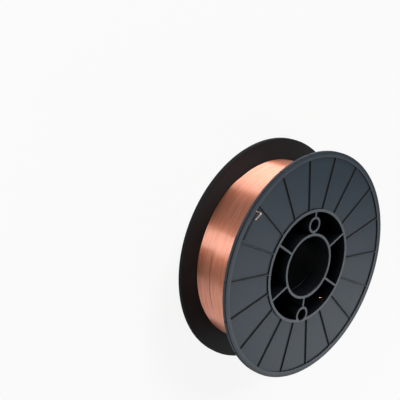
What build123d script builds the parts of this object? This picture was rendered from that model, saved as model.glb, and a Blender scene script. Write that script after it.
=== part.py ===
from build123d import *
import os
from math import acos, cos, degrees, radians, sin, tan

os.makedirs("parts", exist_ok=True)

# Welding wire spool: a one-piece moulded plastic spool with two ribbed flanges,
# a hollow spoked hub and two drive holes, wound with solid welding wire.
# Millimetres and degrees. The spool lies on its back flange, with its axis along Z and
# its front flange up. Clock angles run clockwise from +Y, seen from the front.

# Flanges
FLANGE_DIA = 200.0
SPOOL_WIDTH = 55.0
FLANGE_THICKNESS = 3.5
PANEL_THICKNESS = 2.5
RIM_WIDTH = 4.8
RIM_EDGE_BREAK = 0.3
RIB_COUNT = 18
RIB_TOP_WIDTH = 1.2
RIB_EDGE_BREAK = 0.4
RIB_DRAFT = 5.0
RIB_FIRST_CLOCK = 1.7

# Hub
BARREL_DIA = 101.0
BARREL_WALL = 2.5
BORE_DIA = 52.0
BORE_WALL = 3.0
BORE_ENTRY_STEP = 0.4
BORE_ENTRY_DEPTH = 16.0
BORE_MOUTH_BREAK = 0.5
SPOKE_COUNT = 6
SPOKE_THICKNESS = 1.8
MID_WEB_THICKNESS = 2.0

# Drive holes, one at the standard distance and one nearer the bore, on opposite spokes
DRIVE_HOLE_DIA = 10.4
DRIVE_HOLE_WALL = 2.0
DRIVE_HOLE_OFFSET = 44.0
INNER_DRIVE_HOLE_GAP = 2.5

# Wire and winding
WIRE_DIA = 1.0
WINDING_FILL = 0.705
WINDING_BARREL_CLEARANCE = 0.15
WINDING_FLANGE_CLEARANCE = 0.05
TAIL_FLANGE_CLEARANCE = 0.15
TAIL_SEAT_DEPTH = 0.8
BEND_RADIUS = 1.5

# Slot for the wire's outer end, in the front flange beside the rim
SLOT_WIDTH = 4.2
SLOT_CORNER_RADIUS = 1.2
SLOT_PANEL = 15
SLOT_RIB_MARGIN = 1.3

# The outer end: its place in the slot, its height above the rim and its bent-over tip
TAIL_INTO_SLOT = 3.2
TAIL_FROM_SLOT_END = 2.2
TAIL_RISE = 3.0
TIP_DROP = 0.5
TIP_LENGTH = 7.3
TIP_OUTWARD_ANGLE = 9.0

# The inner end: a hole in the barrel beside the front flange, and the stub through it
START_HOLE_DIA = 2.6
START_HOLE_CLOCK = 149.7
START_HOLE_EDGE_GAP = 0.2
START_LEAN = 40.0
START_STUB_LENGTH = 5.2

# Worked out from the sizes above
flange_r = FLANGE_DIA / 2
rim_inner_r = flange_r - RIM_WIDTH
barrel_r = BARREL_DIA / 2
barrel_inner_r = barrel_r - BARREL_WALL
bore_r = BORE_DIA / 2
bore_outer_r = bore_r + BORE_WALL
face_z = SPOOL_WIDTH / 2
flange_inner_z = face_z - FLANGE_THICKNESS
panel_z = flange_inner_z + PANEL_THICKNESS
rib_pitch = 360 / RIB_COUNT
spoke_first_clock = RIB_FIRST_CLOCK + rib_pitch / 2
drive_hole_clock = spoke_first_clock + 180
drive_hole_r = DRIVE_HOLE_DIA / 2
inner_drive_hole_offset = bore_outer_r + INNER_DRIVE_HOLE_GAP + drive_hole_r
wire_r = WIRE_DIA / 2
winding_r = barrel_r + WINDING_FILL * (rim_inner_r - barrel_r)


def clock_point(radius, clock, z=0.0):
    """The point at a radius and a clock angle, at height z."""
    return Vector(radius * sin(radians(clock)), radius * cos(radians(clock)), z)


def turned_to(clock):
    """The rotation that takes a thing drawn along +X to a clock angle."""
    return Rot(0, 0, 90 - clock)


def section_block(r_low, r_high, z_low, z_high):
    """A rectangle in the half section, from its radii and heights."""
    middle = Pos((r_low + r_high) / 2, (z_low + z_high) / 2)
    return middle * Rectangle(r_high - r_low, z_high - z_low)


def turned_spool():
    """Bore tube, mid web, barrel, flange panels and rims, as one turned section."""
    section = section_block(bore_r, bore_outer_r, -face_z, face_z)
    section += section_block(bore_outer_r, barrel_inner_r, -MID_WEB_THICKNESS / 2, MID_WEB_THICKNESS / 2)
    section += section_block(barrel_inner_r, barrel_r, -face_z, face_z)
    for low, panel_high, rim_high in (
        (flange_inner_z, panel_z, face_z),
        (-flange_inner_z, -panel_z, -face_z),
    ):
        panel = sorted((low, panel_high))
        rim = sorted((low, rim_high))
        section += section_block(barrel_r, rim_inner_r, *panel)
        section += section_block(rim_inner_r, flange_r, *rim)
    entry_bottom = face_z - BORE_ENTRY_DEPTH
    section -= section_block(bore_r, bore_r + BORE_ENTRY_STEP, entry_bottom, face_z)
    rim_corners = section.vertices().group_by(Axis.X)[-1]
    section = chamfer(rim_corners, min(RIM_EDGE_BREAK, 0.4 * FLANGE_THICKNESS))
    front_mouth = section.vertices().filter_by(
        lambda v: abs(v.Y - face_z) < 0.01 and abs(v.X - bore_r - BORE_ENTRY_STEP) < 0.01
    )
    back_mouth = section.vertices().filter_by(
        lambda v: abs(v.Y + face_z) < 0.01 and abs(v.X - bore_r) < 0.01
    )
    section = chamfer(front_mouth + back_mouth, min(BORE_MOUTH_BREAK, 0.2 * BORE_WALL))
    return revolve(Plane.XZ * section, Axis.Z)


def flange_ribs():
    """Tapered radial ribs with broken top edges, on the outer face of the front flange."""
    height = face_z - panel_z
    root = PANEL_THICKNESS / 2
    side_angle = 90 - RIB_DRAFT
    base_width = RIB_TOP_WIDTH + 2 * (height + root) * tan(radians(RIB_DRAFT))
    inner_end = barrel_r - BARREL_WALL / 2
    outer_end = flange_r - RIM_WIDTH / 2
    profile = Pos(0, panel_z + (height - root) / 2) * Trapezoid(base_width, height + root, side_angle)
    top_corners = profile.vertices().group_by(Axis.Y)[-1]
    profile = chamfer(top_corners, min(RIB_EDGE_BREAK, 0.4 * RIB_TOP_WIDTH, 0.6 * height))
    rib = extrude(Plane.YZ.offset(inner_end) * profile, amount=outer_end - inner_end)
    return [turned_to(RIB_FIRST_CLOCK + i * rib_pitch) * rib for i in range(RIB_COUNT)]


def hub_spokes():
    """Full-width spokes that join the bore tube to the barrel."""
    inner_end = bore_outer_r - BORE_WALL / 3
    outer_end = barrel_inner_r + BARREL_WALL / 3
    length = outer_end - inner_end
    spoke = Pos((inner_end + outer_end) / 2, 0, 0) * Box(length, SPOKE_THICKNESS, SPOOL_WIDTH)
    pitch = 360 / SPOKE_COUNT
    return [turned_to(spoke_first_clock + i * pitch) * spoke for i in range(SPOKE_COUNT)]


def drive_hole_places():
    """The centres of the two drive holes, opposite each other across the bore."""
    return [
        Pos(*clock_point(DRIVE_HOLE_OFFSET, drive_hole_clock)),
        Pos(*clock_point(inner_drive_hole_offset, spoke_first_clock)),
    ]


def drive_hole_tubes():
    """Tube walls round the drive holes, kept between the bore and the barrel's outside."""
    between = Cylinder(barrel_r, SPOOL_WIDTH) - Cylinder(bore_r + BORE_WALL / 2, SPOOL_WIDTH)
    tube = Cylinder(drive_hole_r + DRIVE_HOLE_WALL, SPOOL_WIDTH)
    return [(place * tube) & between for place in drive_hole_places()]


def wire_slot():
    """The curved slot beside the rim, between two ribs of the front flange."""
    clock_from = RIB_FIRST_CLOCK + SLOT_PANEL * rib_pitch + SLOT_RIB_MARGIN
    clock_to = RIB_FIRST_CLOCK + (SLOT_PANEL + 1) * rib_pitch - SLOT_RIB_MARGIN
    slot_inner_r = rim_inner_r - SLOT_WIDTH
    span = clock_to - clock_from
    start = 90 - clock_to
    inner_arc = CenterArc((0, 0), slot_inner_r, start, span)
    outer_arc = CenterArc((0, 0), rim_inner_r, start, span)
    outline = [
        inner_arc,
        outer_arc,
        Line(inner_arc @ 0, outer_arc @ 0),
        Line(inner_arc @ 1, outer_arc @ 1),
    ]
    shape = make_face(outline)
    shape = fillet(shape.vertices(), min(SLOT_CORNER_RADIUS, 0.45 * SLOT_WIDTH))
    return extrude(Pos(0, 0, flange_inner_z - PANEL_THICKNESS) * shape, amount=3 * PANEL_THICKNESS)


def stub_line():
    """The inner end's straight run: its tip, the wall point and its start in the winding."""
    z = flange_inner_z - START_HOLE_EDGE_GAP - START_HOLE_DIA / 2
    wall_point = clock_point(barrel_inner_r, START_HOLE_CLOCK, z)
    inward = clock_point(-cos(radians(START_LEAN)), START_HOLE_CLOCK)
    along = clock_point(sin(radians(START_LEAN)), START_HOLE_CLOCK + 90)
    direction = inward + along
    outer_run = (BARREL_WALL + WIRE_DIA) / cos(radians(START_LEAN))
    return wall_point + direction * START_STUB_LENGTH, wall_point, wall_point - direction * outer_run


def rod(start, end, radius):
    """A round rod between two points."""
    path = Line(start, end)
    return extrude(Plane(path @ 0, z_dir=path % 0) * Circle(radius), amount=path.length)


def spool_body():
    """The whole moulded spool, with its holes cut."""
    ribs = flange_ribs()
    body = turned_spool() + ribs + [mirror(rib, about=Plane.XY) for rib in ribs]
    body = body + hub_spokes() + drive_hole_tubes()
    hole = Cylinder(drive_hole_r, SPOOL_WIDTH + FLANGE_THICKNESS)
    for place in drive_hole_places():
        body -= place * hole
    tip, wall_point, inner = stub_line()
    start_hole = rod(wall_point + (tip - wall_point) * 0.5, inner, START_HOLE_DIA / 2)
    return body - wire_slot() - start_hole


def bent_path(points, radius):
    """Straight runs between points, joined by tangent arcs of one radius."""
    runs = []
    start = points[0]
    for before, corner, after in zip(points, points[1:], points[2:]):
        coming = (corner - before).normalized()
        going = (after - corner).normalized()
        half_turn = coming.get_angle(going) / 2
        setback = radius * tan(radians(half_turn))
        arc_start = corner - coming * setback
        arc_end = corner + going * setback
        to_centre = (going - coming).normalized()
        mid_gap = radius / cos(radians(half_turn)) - radius
        runs.append(Line(start, arc_start))
        runs.append(ThreePointArc(arc_start, corner + to_centre * mid_gap, arc_end))
        start = arc_end
    runs.append(Line(start, points[-1]))
    return Wire(runs)


def tail_points():
    """The outer end's corners: off the winding, through the slot, and bent over."""
    seat_r = winding_r - TAIL_SEAT_DEPTH
    slot_end = RIB_FIRST_CLOCK + (SLOT_PANEL + 1) * rib_pitch - SLOT_RIB_MARGIN
    leg_r = rim_inner_r - TAIL_INTO_SLOT
    leg_clock = slot_end - degrees(TAIL_FROM_SLOT_END / leg_r)
    run_z = flange_inner_z - TAIL_FLANGE_CLEARANCE - wire_r
    top_z = face_z + TAIL_RISE
    leaving_clock = leg_clock + degrees(acos(seat_r / leg_r))
    leg_top = clock_point(leg_r, leg_clock, top_z)
    tip = leg_top + clock_point(-TIP_LENGTH, leg_clock + 90 + TIP_OUTWARD_ANGLE, -TIP_DROP)
    return [
        clock_point(seat_r, leaving_clock, run_z),
        clock_point(leg_r, leg_clock, run_z),
        leg_top,
        tip,
    ]


def wound_wire():
    """The winding as one turned ring, with the wire's outer and inner ends on it."""
    inner_r = barrel_r + WINDING_BARREL_CLEARANCE
    half_width = flange_inner_z - WINDING_FLANGE_CLEARANCE
    winding = revolve(Plane.XZ * section_block(inner_r, winding_r, -half_width, half_width), Axis.Z)
    path = bent_path(tail_points(), BEND_RADIUS)
    tail = sweep(Plane(path @ 0, z_dir=path % 0) * Circle(wire_r), path=path)
    tip, _, inner = stub_line()
    stub = rod(inner, tip, wire_r)
    return winding + tail + stub


export_step(spool_body(), "parts/spool_body.step")
export_step(wound_wire(), "parts/welding_wire.step")
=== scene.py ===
from math import acos, cos, degrees, pi, radians, sin

import bpy
import numpy as np
from mathutils import Matrix, Vector


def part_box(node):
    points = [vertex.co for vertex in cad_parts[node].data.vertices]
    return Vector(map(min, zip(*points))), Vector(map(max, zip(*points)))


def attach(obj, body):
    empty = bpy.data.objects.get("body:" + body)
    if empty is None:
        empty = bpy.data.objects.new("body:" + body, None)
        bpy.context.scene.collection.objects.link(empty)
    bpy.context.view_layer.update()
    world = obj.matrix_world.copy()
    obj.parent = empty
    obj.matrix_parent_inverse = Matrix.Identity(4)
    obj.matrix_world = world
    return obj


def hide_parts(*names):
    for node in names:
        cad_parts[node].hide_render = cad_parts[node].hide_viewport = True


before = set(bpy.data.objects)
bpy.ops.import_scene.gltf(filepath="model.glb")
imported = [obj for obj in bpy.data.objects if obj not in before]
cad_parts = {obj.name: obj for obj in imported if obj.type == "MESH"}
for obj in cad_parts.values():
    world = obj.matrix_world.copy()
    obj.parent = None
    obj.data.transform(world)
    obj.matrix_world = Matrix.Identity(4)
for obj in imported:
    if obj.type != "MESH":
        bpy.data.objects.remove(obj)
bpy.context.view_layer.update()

# Metres. The spool lies on its back flange with its axis along Z and its front flange up.
# Clock angles run clockwise from +Y, seen from the front.

# Sizes that the frame gives
spool_low, spool_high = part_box("spool_body")
FLOOR_Z = spool_low.z
FLANGE_R = spool_high.x
FACE_Z = spool_high.z
WINDING_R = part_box("welding_wire")[1].x

# The plastic spool
FLANGE_THICKNESS = 0.0035
INNER_FACE_Z = FACE_Z - FLANGE_THICKNESS
RIM_WIDTH = 0.0048
RIM_INNER_R = FLANGE_R - RIM_WIDTH
PANEL_DEPTH = 0.001
PANEL_Z = FACE_Z - PANEL_DEPTH
BARREL_INNER_R = 0.048
BARREL_WALL = 0.0025
HUB_R = BARREL_INNER_R + BARREL_WALL
RIB_COUNT = 18
RIB_FIRST_CLOCK = 1.7

# The wire and the outer layer of the winding
WIRE_R = 0.0005
WINDING_CLEARANCE = 0.00005
WINDING_HALF_WIDTH = INNER_FACE_Z - WINDING_CLEARANCE
WINDING_BORE_R = 0.05065
LOWER_LAYER_DEPTH = 0.0009
LOWER_LAYER_R = WINDING_R - LOWER_LAYER_DEPTH
RING_STEPS = 180
TURNS = 47
SAMPLES_PER_TURN = 256
TURN_INSET = 0.00004
TURN_R = WINDING_R - WIRE_R - TURN_INSET
TURN_CLEARANCE = 0.00015
LAST_TURN_Z = INNER_FACE_Z - TURN_CLEARANCE - WIRE_R
PITCH = (2 * WINDING_HALF_WIDTH - 2 * WIRE_R - TURN_CLEARANCE) / TURNS
CROSSOVER_CLOCK = (60.0, 105.0)
STRAY_SEED = 11
STRAY_IN_RADIUS = 0.000012
STRAY_IN_HEIGHT = 0.000005
FIRST_TURN_DIVE = 0.04

# Points across one turn, in pitches from its middle. The first one lies in the groove.
ACROSS_TURN = (0.5, 0.38, 0.2, 0.0, -0.2, -0.38)
BACK_FLATNESS = 0.98
GROOVE_DEPTH = 0.00036

# The gap between two turns that shows as a thin dark line
GAP_Z = -0.0088
GAP_WIDTH = 0.0006
GAP_EXTRA_DEPTH = 0.00045
GAP_CLOCK = (243.0, 297.0)
GAP_TAPER = 14.0

# The wire's outer end: the last stretch on the winding, through the slot and bent over
SLOT_END_CLOCK = 320.4
LEG_TO_RIM = 0.0032
LEG_TO_SLOT_END = 0.0022
LEG_R = RIM_INNER_R - LEG_TO_RIM
LEG_CLOCK = SLOT_END_CLOCK - degrees(LEG_TO_SLOT_END / LEG_R)
LEG_HEIGHT = 0.003
LEG_TOP_Z = FACE_Z + LEG_HEIGHT
LEAVING_CLOCK = LEG_CLOCK + degrees(acos(TURN_R / LEG_R))
LAST_STRETCH_CLOCK = (9.0, 7.0, 5.0, 3.0, 1.5)
TIP_LENGTH = 0.0073
TIP_DROP = 0.0005
TIP_OUTWARD_ANGLE = 9.0
BEND_R = 0.0015
BEND_STEPS = 8

# The wire's inner end, through the barrel wall
START_HOLE_R = 0.0013
START_HOLE_CLOCK = 149.7
START_HOLE_TO_FLANGE = 0.0002
START_HOLE_Z = INNER_FACE_Z - START_HOLE_TO_FLANGE - START_HOLE_R
START_LEAN = 40.0
START_STUB_LENGTH = 0.0052

# The cut ends of the round wire
WIRE_SIDES = 20
CUT_SCALE = 0.8
CUT_LENGTH = 0.12 * WIRE_R

# Where the looks of the plastic and the copper fade in, from the face or edge that each belongs to
RAISED_FADE = (-0.00014, -0.00006)
INNER_FACE_FADE = (0.0001, 0.0003)
RIB_SIDE_FADE = (0.00003, 0.00008)
HUB_FADE = (0.0, 0.0004)
OUTER_EDGE_FADE = (-0.0003, -0.0001)
RIM_EDGE_FADE = (-0.0036, -0.0016)
HALFWAY_FADE = (-0.001, 0.001)
# How far the painted shade at the feet of the ribs, the rim and the hub reaches
RIB_SHADE_FADE = (0.0010, 0.0026)
RIM_SHADE_FADE = (-0.0018, -0.0004)
HUB_SHADE_FADE = (0.0002, 0.0014)
GAP_FLOOR_FADE = (-0.0012, -0.0011)
GAP_TOP_FADE = (-0.00068, -0.00052)

# The side of the clock that the painted shade in the corners faces, away from the front lamp
SHADE_CLOCK = 303.0

# Colours
PLASTIC_TONES = ((0.016, 0.034, 0.054, 1.0), (0.021, 0.041, 0.063, 1.0))
RUBBED_PLASTIC = (0.125, 0.145, 0.165, 1.0)
RIM_EDGE_PLASTIC = (0.018, 0.033, 0.048, 1.0)
# Near-black plastic, painted in as shade
SHADE_PAINTED_PLASTIC = (0.003, 0.0035, 0.004, 1.0)
SCRATCHED_PLASTIC = (0.22, 0.225, 0.23, 1.0)
COPPER_TONES = ((0.80, 0.22, 0.09, 1.0), (0.86, 0.28, 0.135, 1.0))
# Paler copper for the wire's bent outer end: a painted highlight
HIGHLIGHT_PAINTED_COPPER_TONES = ((0.93, 0.72, 0.64, 1.0), (0.95, 0.80, 0.74, 1.0))
COPPER_PATCH = (0.78, 0.25, 0.14, 1.0)
# Dark copper painted in as shade on the floor of the gap between two turns
GAP_SHADE_COPPER = (0.10, 0.035, 0.02, 1.0)
FLOOR_PAINT = (0.97, 0.97, 0.97, 1.0)
ROOM_AIR = (0.95, 0.97, 1.0, 1.0)
WHITE = (1.0, 1.0, 1.0, 1.0)

# Soft lamps: direction from the spool, distance, width and height, brightness of the face
LAMPS = {
    "top_panel": ((0.33, 0.93, 0.22), 0.9, (0.82, 0.26), 6.4),
    "left_panel": ((-0.91, 0.355, 0.27), 0.9, (0.34, 0.32), 6.0),
    "low_fill": ((-0.65, -0.71, 0.24), 1.0, (0.98, 0.28), 1.75),
    "front_panel": ((0.584, -0.551, 0.596), 0.683, (0.34, 0.4), 2.3),
}
DAYLIGHT_HEADING = (-0.42, -0.52, -0.74)
DAYLIGHT_STRENGTH = 1.1
DAYLIGHT_SPREAD = 20.0
ROOM_LIGHT = 0.05

# The floor, and how much plain white the camera and the reflections see in the floor and the room
FLOOR_HALF_SIZE = 40.0
FLOOR_GAP = 0.00002
FLOOR_WHITE_SHARE = 0.88
ROOM_WHITE_SHARE = 0.97
REFLECTED_WHITE_SHARE = 0.04

# The photograph's camera, set up round the spool standing on its rims
CAMERA_AZIMUTH = -47.863
CAMERA_ELEVATION = 25.778
CAMERA_DISTANCE = 0.871562
CAMERA_PAN = 4.843
CAMERA_TILT = 3.262
CAMERA_LENS_MM = 89.798
CAMERA_CLIP_START = 0.01


def smooth(value, low, high):
    """0 below low, 1 above high and a soft step between them."""
    t = np.clip((value - low) / (high - low), 0, 1)
    return t * t * (3 - 2 * t)


def clock_point(radius, clock, z=0.0):
    """The point at a radius and a clock angle, at height z."""
    return Vector((radius * sin(radians(clock)), radius * cos(radians(clock)), z))


def mesh_piece(name, vertices, faces, finish, rounded=True):
    """A piece that rides on the spool, from its points and faces, shaded smooth or flat."""
    mesh = bpy.data.meshes.new(name)
    mesh.from_pydata([tuple(v) for v in vertices], [], faces)
    mesh.polygons.foreach_set("use_smooth", [rounded] * len(mesh.polygons))
    mesh.materials.append(finish)
    piece = bpy.data.objects.new(name, mesh)
    bpy.context.scene.collection.objects.link(piece)
    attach(piece, "root")
    return piece


class Value:
    """A node's output. Sums and products of values add their Math nodes."""

    def __init__(self, finish, socket):
        self.finish = finish
        self.socket = socket

    def maths(self, operation, *others):
        return self.finish.node("Math", {"operation": operation}, dict(enumerate((self, *others))))

    def __add__(self, other):
        return self.maths("ADD", other)

    def __sub__(self, other):
        return self.maths("SUBTRACT", other)

    def __rsub__(self, other):
        return self.maths("MULTIPLY", -1.0) + other

    def __mul__(self, other):
        return self.maths("MULTIPLY", other)

    def __abs__(self):
        return self.maths("ABSOLUTE")

    __radd__ = __add__
    __rmul__ = __mul__

    def above_zero(self):
        """The value itself where it is above zero, and zero elsewhere."""
        return self.maths("MAXIMUM", 0.0)

    def step(self, low, high, start=0.0):
        """0 below start + low, 1 above start + high and a soft step between them."""
        settings = {"interpolation_type": "SMOOTHSTEP"}
        inputs = {"Value": self, "From Min": start + low, "From Max": start + high}
        return self.finish.node("MapRange", settings, inputs)


class Finish:
    """A material or the world, whose nodes all come from one method."""

    def __init__(self, owner):
        self.owner = owner
        owner.use_nodes = True
        self.tree = owner.node_tree
        self.tree.nodes.clear()

    def node(self, kind, settings=None, inputs=None, out=0):
        """Adds a node: its settings first, then the values or links of its sockets."""
        made = self.tree.nodes.new("ShaderNode" + kind)
        for name, value in (settings or {}).items():
            setattr(made, name, value)
        for name, value in (inputs or {}).items():
            if isinstance(value, Value):
                self.tree.links.new(value.socket, made.inputs[name])
            else:
                made.inputs[name].default_value = value
        return Value(self, made.outputs[out]) if made.outputs else made

    def round_place(self):
        """The place on the object, its clock angle, its distance from the axis and its height."""
        place = self.node("TexCoord", out="Object")
        x, y, z = (self.node("SeparateXYZ", None, {0: place}, out=axis) for axis in "XYZ")
        return place, x.maths("ARCTAN2", y), (x * x + y * y).maths("SQRT"), z

    def blend(self, mask, colour, other):
        """colour where the mask is 0 and other where it is 1."""
        inputs = {0: mask, 6: colour, 7: other}
        return self.node("Mix", {"data_type": "RGBA"}, inputs, out=2)

    def noise(self, place, scale, detail=2.0, roughness=0.5):
        """Noise around 0.5 with features of 1 / scale metres."""
        inputs = {"Vector": place, "Scale": scale, "Detail": detail, "Roughness": roughness}
        return self.node("TexNoise", None, inputs)

    def finished(self, surface, kind="Material"):
        """Joins the surface to the output and gives the material or the world back."""
        self.node("Output" + kind, None, {"Surface": surface})
        return self.owner


def painted_corner_shade(clock, from_axis):
    """Painted shade at the feet of the ribs, the rim and the hub, on the side away from the front lamp.
    """
    ribs_passed = clock * (RIB_COUNT / (2 * pi)) - RIB_FIRST_CLOCK * RIB_COUNT / 360
    past_rib = (ribs_passed + 0.5).maths("FRACT") - 0.5
    from_rib = abs(past_rib) * from_axis * (2 * pi / RIB_COUNT)
    rib_facing = past_rib.maths("SIGN") * (clock - radians(SHADE_CLOCK - 90)).maths("COSINE")
    hub_facing = (clock - radians(SHADE_CLOCK)).maths("COSINE")
    rib_foot = (1 - from_rib.step(*RIB_SHADE_FADE)) * rib_facing.above_zero()
    rim_foot = from_axis.step(*RIM_SHADE_FADE, start=RIM_INNER_R) * (0 - hub_facing).above_zero()
    hub_foot = (1 - from_axis.step(*HUB_SHADE_FADE, start=HUB_R)) * hub_facing.above_zero()
    return rib_foot.maths("MAXIMUM", rim_foot).maths("MAXIMUM", hub_foot)


def moulded_plastic():
    """Dark grey moulded plastic: matt sunk panels, rubbed and scratched raised faces and softly
    broken edges, with painted shade in the panels' corners on the side away from the front lamp
    and on the faces between the flanges, inside the hub, on the rib sides and at the back edge."""
    finish = Finish(bpy.data.materials.new("moulded_plastic"))
    place, clock, from_axis, z = finish.round_place()
    raised = abs(z).step(*RAISED_FADE, start=FACE_Z)
    hub = 1 - from_axis.step(*HUB_FADE, start=HUB_R)
    inside_hub = hub * (1 - raised)
    rim_edge = from_axis.step(*RIM_EDGE_FADE, start=FLANGE_R)
    between_flanges = 1 - abs(z).step(*INNER_FACE_FADE, start=INNER_FACE_Z)
    back_edge = from_axis.step(*OUTER_EDGE_FADE, start=FLANGE_R) * (1 - z.step(*HALFWAY_FADE))
    rib_side = abs(z).step(*RIB_SIDE_FADE, start=PANEL_Z) * (1 - raised)
    # Masks of painted shade: one side of the panels' corners, and the faces that get little light
    corner_shade = painted_corner_shade(clock, from_axis) * (1 - between_flanges) * (1 - raised) * (1 - hub)
    corner_shade = corner_shade.step(0.0, 0.7)
    painted_shade = (between_flanges + back_edge + inside_hub + rib_side).maths("MINIMUM", 1.0)

    cloud = finish.noise(place, 45.0, 3.0)
    speck = finish.noise(place, 900.0, 4.0, 0.65)
    grain = finish.noise(place, 5200.0, 2.0)
    stretch = {"Vector": place, "Rotation": (0.0, 0.0, 0.6), "Scale": (1.0, 14.0, 1.0)}
    scratch = finish.noise(finish.node("Mapping", None, stretch), 160.0, 3.0).step(0.62, 0.72)

    colour = finish.blend(cloud.step(0.3, 0.7), *PLASTIC_TONES)
    colour = finish.blend(raised * (0.3 + 0.4 * hub), colour, RUBBED_PLASTIC)
    colour = finish.blend(rim_edge * raised * 0.9, colour, RIM_EDGE_PLASTIC)
    # Painted shade: the corners and the faces that get little light are darkened
    colour = finish.blend(corner_shade * 0.9, colour, SHADE_PAINTED_PLASTIC)
    colour = finish.blend(painted_shade * 0.95, colour, SHADE_PAINTED_PLASTIC)
    colour = finish.blend(scratch * raised * 0.25, colour, SCRATCHED_PLASTIC)

    dull = rib_side.maths("MAXIMUM", back_edge).maths("MAXIMUM", corner_shade) * 0.4 + between_flanges * 0.22
    roughness = 0.48 + 0.16 * (speck - 0.5) + 0.1 * (cloud - 0.5)
    roughness = roughness + dull * (1 - hub) - 0.1 * inside_hub
    edges = finish.node("Bevel", {"samples": 6}, {"Radius": 0.00018})
    relief = {"Height": grain + 0.4 * speck, "Strength": 0.16, "Distance": 0.00006, "Normal": edges}
    shader = {
        "Base Color": colour,
        "Roughness": roughness,
        "Normal": finish.node("Bump", None, relief),
        "IOR": 1.49,
    }
    return finish.finished(finish.node("BsdfPrincipled", None, shader))


def copper_coat(name, tones):
    """Copper-coated drawn wire under a thin oil film: satin metal, streaked along the turns, with
    painted shade on the floor of the gap between two turns.
    """
    finish = Finish(bpy.data.materials.new(name))
    place, clock, from_axis, z = finish.round_place()
    along_wire = finish.node("CombineXYZ", None, {0: clock * 0.05, 1: from_axis * 8.0, 2: z * 8.0})
    along_die_lines = finish.node("CombineXYZ", None, {0: clock * 0.02, 1: from_axis * 8.0, 2: z * 8.0})
    streak = finish.noise(along_wire, 70.0, 1.0)
    die_lines = finish.noise(along_die_lines, 700.0, 2.0)
    patch = finish.noise(place, 38.0, 3.0)
    in_gap = from_axis.step(*GAP_FLOOR_FADE, start=WINDING_R)
    in_gap = in_gap * (1 - from_axis.step(*GAP_TOP_FADE, start=WINDING_R))

    colour = finish.blend(streak.step(0.35, 0.65), *tones)
    colour = finish.blend(patch.step(0.52, 0.75) * 0.35, colour, COPPER_PATCH)
    # Painted shade: the floor of the gap between two turns is darkened
    colour = finish.blend(in_gap * 0.85, colour, GAP_SHADE_COPPER)
    relief = {"Height": die_lines, "Strength": 0.05, "Distance": 0.00002}
    shader = {
        "Base Color": colour,
        "Metallic": 1.0,
        "Roughness": 0.33 + 0.06 * (patch - 0.5),
        "Normal": finish.node("Bump", None, relief),
        "Coat Weight": 1.0,
        "Coat Roughness": 0.17,
        "Coat IOR": 2.3,
    }
    return finish.finished(finish.node("BsdfPrincipled", None, shader))


def seen_white(finish, lit, share):
    """lit, mixed with pure white where the camera looks, and with less of it in metal or glass."""
    rays = ("Is Camera Ray", "Is Glossy Ray", "Is Transmission Ray")
    camera, glossy, through = (finish.node("LightPath", out=ray) for ray in rays)
    seen = camera * share + glossy * REFLECTED_WHITE_SHARE + through * REFLECTED_WHITE_SHARE
    glow = "Background" if isinstance(finish.owner, bpy.types.World) else "Emission"
    white = finish.node(glow, None, {"Color": WHITE, "Strength": 1.0})
    return finish.node("MixShader", None, {0: seen.maths("MINIMUM", 1.0), 1: lit, 2: white})


def stray(rng, turn, clock, spread):
    """How far the wire lies from its true place: a drift from turn to turn and waves in each."""
    knots = rng.normal(0, spread, (5, TURNS + 2))
    a = [np.interp(turn, np.arange(TURNS + 2), row) for row in knots]
    angle = np.radians(clock)
    once_round = a[0] + a[1] * np.sin(angle) + a[2] * np.cos(angle)
    return once_round + a[3] * np.sin(2 * angle) + a[4] * np.cos(3 * angle)


def outer_layer_points():
    """The backs of the turns: rows of points across the wire, from the last turn to the first."""
    rng = np.random.default_rng(STRAY_SEED)
    turn = np.arange(TURNS * SAMPLES_PER_TURN + 1) / SAMPLES_PER_TURN
    clock = (LEAVING_CLOCK + 360 * turn) % 360
    crossing = [((c - LEAVING_CLOCK) % 360) / 360 for c in CROSSOVER_CLOCK]
    middle_z = LAST_TURN_Z - PITCH * (np.floor(turn) + smooth(turn % 1.0, *crossing))

    in_gap = smooth(clock, GAP_CLOCK[0], GAP_CLOCK[0] + GAP_TAPER)
    in_gap = in_gap * (1 - smooth(clock, GAP_CLOCK[1] - GAP_TAPER, GAP_CLOCK[1]))
    below_gap = middle_z < GAP_Z
    beside_gap = below_gap & (middle_z > GAP_Z - PITCH)
    middle_z = middle_z - GAP_WIDTH * in_gap * below_gap

    radius = TURN_R + stray(rng, turn, clock, STRAY_IN_RADIUS)
    middle_z = middle_z + stray(rng, turn, clock, STRAY_IN_HEIGHT)
    radius = radius - 2 * WIRE_R * smooth(turn, TURNS - FIRST_TURN_DIVE, TURNS)

    across = np.array(ACROSS_TURN) * PITCH
    rise = np.sqrt(WIRE_R**2 - across**2 * BACK_FLATNESS)
    rise[0] = WIRE_R - GROOVE_DEPTH
    r = radius[:, None] + rise[None, :]
    r[:, 0] -= GAP_EXTRA_DEPTH * in_gap * beside_gap
    z = middle_z[:, None] + across[None, :]
    angle = np.radians(clock)[:, None]
    return np.stack([r * np.sin(angle), r * np.cos(angle), z], axis=2)


def down_to_lower_layers(edge):
    """The row of points straight below an edge, on the lower layers."""
    below = edge.copy()
    below[:, :2] *= LOWER_LAYER_R / np.hypot(edge[:, 0], edge[:, 1])[:, None]
    return below


def strip(left, right):
    """Faces between two rows of point numbers."""
    return np.stack([left[:-1], right[:-1], right[1:], left[1:]], axis=1)


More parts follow.
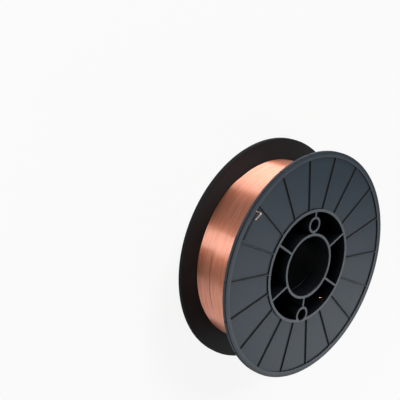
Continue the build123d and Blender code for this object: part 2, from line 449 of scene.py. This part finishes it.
def wire_turns(copper):
    """The outer layer as one helix of real turns, side by side, each with its rounded back."""
    points = outer_layer_points()
    sections, columns = points.shape[:2]
    one_turn = SAMPLES_PER_TURN + 1
    front_skirt = down_to_lower_layers(points[:one_turn, 0])
    back_edge = points[-one_turn:, 0] - np.array([0.0, 0.0, PITCH])
    back_skirt = down_to_lower_layers(back_edge)
    vertices = np.concatenate([points.reshape(-1, 3), front_skirt, back_edge, back_skirt])

    helix = np.arange(sections * columns).reshape(sections, columns)
    front_row, edge_row, back_row = helix.size + np.arange(3 * one_turn).reshape(3, one_turn)
    faces = [strip(helix[:, p], helix[:, p + 1]) for p in range(columns - 1)]
    faces.append(strip(helix[:-SAMPLES_PER_TURN, -1], helix[SAMPLES_PER_TURN:, 0]))
    faces.append(strip(helix[-one_turn:, -1], edge_row))
    faces.append(strip(edge_row, back_row))
    faces.append(strip(front_row, helix[:one_turn, 0]))
    return mesh_piece("wire_turns", vertices, np.concatenate(faces).tolist(), copper)


def lower_layers(copper):
    """The layers under the outer one, as a turned ring with its bore."""
    section = [
        (WINDING_BORE_R, -WINDING_HALF_WIDTH),
        (LOWER_LAYER_R, -WINDING_HALF_WIDTH),
        (LOWER_LAYER_R, WINDING_HALF_WIDTH),
        (WINDING_BORE_R, WINDING_HALF_WIDTH),
    ]
    vertices = [clock_point(r, 360 * i / RING_STEPS, z) for i in range(RING_STEPS) for r, z in section]
    n = len(section)
    faces = []
    for i in range(RING_STEPS):
        here, there = i * n, ((i + 1) % RING_STEPS) * n
        for j in range(n):
            k = (j + 1) % n
            faces.append((here + j, here + k, there + k, there + j))
    return mesh_piece("wire_lower_layers", vertices, faces, copper, rounded=False)


def bent_line(points):
    """Straight runs between points, joined by arcs of the wire's bend radius."""
    line = [points[0]]
    for before, corner, after in zip(points, points[1:], points[2:]):
        coming = (corner - before).normalized()
        going = (after - corner).normalized()
        turn = coming.angle(going)
        start = corner - coming * BEND_R * np.tan(turn / 2)
        centre = start + (going - coming * coming.dot(going)).normalized() * BEND_R
        hinge = coming.cross(going).normalized()
        for i in range(BEND_STEPS + 1):
            swing = Matrix.Rotation(turn * i / BEND_STEPS, 3, hinge)
            line.append(centre + swing @ (start - centre))
    line.append(points[-1])
    return line


def round_wire(name, line, copper):
    """A round wire along a line, cut square at its ends with a slight burr radius."""
    along = (line[1] - line[0]).normalized()
    side = along.orthogonal().normalized()
    line = [line[0]] + list(line) + [line[-1]]
    last = len(line) - 1
    vertices = []
    for i, point in enumerate(line):
        before, after = line[max(i - 1, 0)], line[min(i + 1, last)]
        if (after - before).length > 1e-9:
            along = (after - before).normalized()
        side = (side - along * side.dot(along)).normalized()
        other = along.cross(side)
        radius = WIRE_R * (CUT_SCALE if i in (0, last) else 1.0)
        inset = along * CUT_LENGTH * ((i == last) - (i == 0))
        for k in range(WIRE_SIDES):
            angle = 2 * pi * k / WIRE_SIDES
            vertices.append(point + inset + (side * cos(angle) + other * sin(angle)) * radius)
    faces = []
    for i in range(last):
        for k in range(WIRE_SIDES):
            m = (k + 1) % WIRE_SIDES
            here, there = i * WIRE_SIDES, (i + 1) * WIRE_SIDES
            faces.append((here + k, here + m, there + m, there + k))
    faces.append(tuple(reversed(range(WIRE_SIDES))))
    faces.append(tuple(range(last * WIRE_SIDES, (last + 1) * WIRE_SIDES)))
    return mesh_piece(name, vertices, faces, copper)


def outer_end(copper):
    """The wire's outer end: off the last turn, through the slot and bent over."""
    on_winding = [clock_point(TURN_R, LEAVING_CLOCK + step, LAST_TURN_Z) for step in LAST_STRETCH_CLOCK]
    leaving = clock_point(TURN_R, LEAVING_CLOCK, LAST_TURN_Z)
    leg_foot = clock_point(LEG_R, LEG_CLOCK, LAST_TURN_Z)
    leg_top = clock_point(LEG_R, LEG_CLOCK, LEG_TOP_Z)
    tip = leg_top + clock_point(-TIP_LENGTH, LEG_CLOCK + 90 + TIP_OUTWARD_ANGLE, -TIP_DROP)
    line = on_winding + bent_line([leaving, leg_foot, leg_top, tip])
    return round_wire("wire_outer_end", line, copper)


def inner_end(copper):
    """The wire's inner end: a short stub through the hole in the barrel wall."""
    wall_point = clock_point(BARREL_INNER_R, START_HOLE_CLOCK, START_HOLE_Z)
    inward = clock_point(-cos(radians(START_LEAN)), START_HOLE_CLOCK)
    sideways = clock_point(sin(radians(START_LEAN)), START_HOLE_CLOCK + 90)
    direction = inward + sideways
    start = wall_point - direction * (BARREL_WALL + 2 * WIRE_R) / cos(radians(START_LEAN))
    stub_tip = wall_point + direction * START_STUB_LENGTH
    return round_wire("wire_inner_end", [start, wall_point, stub_tip], copper)


def studio_floor():
    """A plain pale floor under the spool."""
    mesh = bpy.data.meshes.new("studio_floor")
    size = FLOOR_HALF_SIZE
    corners = [(-size, -size), (size, -size), (size, size), (-size, size)]
    mesh.from_pydata([(x, y, FLOOR_Z - FLOOR_GAP) for x, y in corners], [], [(0, 1, 2, 3)])
    floor = bpy.data.objects.new("studio_floor", mesh)
    bpy.context.scene.collection.objects.link(floor)
    finish = Finish(bpy.data.materials.new("pale_floor"))
    paint = finish.node("BsdfDiffuse", None, {"Color": FLOOR_PAINT})
    mesh.materials.append(finish.finished(seen_white(finish, paint, FLOOR_WHITE_SHARE)))


def soft_lamp(name, direction, distance, size, brightness):
    """A square-on soft lamp, from where it stands and how bright its face is."""
    lamp = bpy.data.lights.new(name, "AREA")
    lamp.shape = "RECTANGLE"
    lamp.size, lamp.size_y = size
    lamp.energy = brightness * pi * size[0] * size[1]
    stand = bpy.data.objects.new(name, lamp)
    back = Vector(direction).normalized()
    stand.visible_camera = False
    stand.location = back * distance
    stand.rotation_mode = "QUATERNION"
    stand.rotation_quaternion = (-back).to_track_quat("-Z", "Y")
    bpy.context.scene.collection.objects.link(stand)


def studio_light():
    """Soft lamps round the spool, soft daylight and a dim room."""
    for name, settings in LAMPS.items():
        soft_lamp(name, *settings)
    daylight = bpy.data.lights.new("daylight", "SUN")
    daylight.energy = DAYLIGHT_STRENGTH
    daylight.angle = radians(DAYLIGHT_SPREAD)
    stand = bpy.data.objects.new("daylight", daylight)
    stand.rotation_mode = "QUATERNION"
    stand.rotation_quaternion = Vector(DAYLIGHT_HEADING).to_track_quat("-Z", "Y")
    bpy.context.scene.collection.objects.link(stand)
    room = Finish(bpy.data.worlds.new("dim_room"))
    air = room.node("Background", None, {"Color": ROOM_AIR, "Strength": ROOM_LIGHT})
    bpy.context.scene.world = room.finished(seen_white(room, air, ROOM_WHITE_SHARE), "World")


def photo_camera():
    """The photograph's view of the standing spool, laid back together with the spool."""
    azimuth, elevation = radians(CAMERA_AZIMUTH), radians(CAMERA_ELEVATION)
    back = Vector((sin(azimuth) * cos(elevation), -cos(azimuth) * cos(elevation), sin(elevation)))
    aim = (-back).to_track_quat("-Z", "Y").to_matrix()
    pan = Matrix.Rotation(radians(CAMERA_PAN), 3, "Y")
    tilt = Matrix.Rotation(radians(CAMERA_TILT), 3, "X")
    standing = Matrix.Translation(back * CAMERA_DISTANCE) @ (aim @ pan @ tilt).to_4x4()
    camera = bpy.data.objects.new("photo_camera", bpy.data.cameras.new("photo_camera"))
    camera.data.lens = CAMERA_LENS_MM
    camera.data.clip_start = CAMERA_CLIP_START
    camera.matrix_world = Matrix.Rotation(radians(-90), 4, "X") @ standing
    bpy.context.scene.collection.objects.link(camera)
    bpy.context.scene.camera = camera


copper = copper_coat("copper_coat", COPPER_TONES)
# The bent outer end gets the paler copper, a painted highlight
highlight_copper = copper_coat("highlight_painted_copper_coat", HIGHLIGHT_PAINTED_COPPER_TONES)
for piece in (wire_turns(copper), lower_layers(copper), outer_end(highlight_copper), inner_end(copper)):
    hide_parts("welding_wire")
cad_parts["spool_body"].material_slots[0].material = moulded_plastic()

studio_floor()
studio_light()
photo_camera()
bpy.context.scene.view_settings.view_transform = "Standard"
